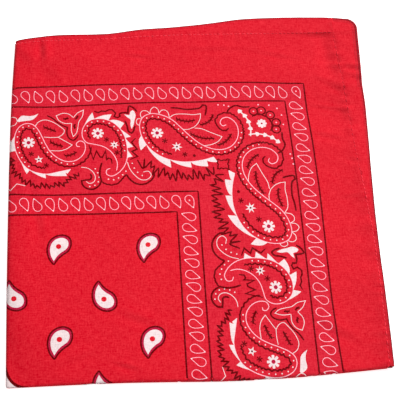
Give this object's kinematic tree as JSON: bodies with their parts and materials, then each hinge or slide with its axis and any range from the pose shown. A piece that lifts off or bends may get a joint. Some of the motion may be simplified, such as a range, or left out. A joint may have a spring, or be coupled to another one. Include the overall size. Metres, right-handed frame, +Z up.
{
  "type": "folded bandana",
  "caption": "Square printed cotton bandana folded into a quarter square and laid flat, with hemmed open edges.",
  "frame": {"origin": "middle of the box of the folded cloth, on the surface that it lies on", "axes": "+Z up through the four layers; the left-hand fold is towards -X, the near fold towards -Y, the hemmed open edges towards +X and +Y"},
  "size_m": [0.2752, 0.2938, 0.0049],
  "materials": {
    "printed_cotton": "plain woven red cotton, printed in white and black, matt",
    "hem_cotton": "plain woven red cotton, turned and machine stitched, matt",
    "layer_cotton": "plain woven red cotton, printed in white and black, matt"
  },
  "bodies": {
    "root": {"top_quarter": "printed_cotton", "far_hem": "hem_cotton", "side_hem": "hem_cotton", "folded_layers": "layer_cotton"}
  },
  "joints": []
}
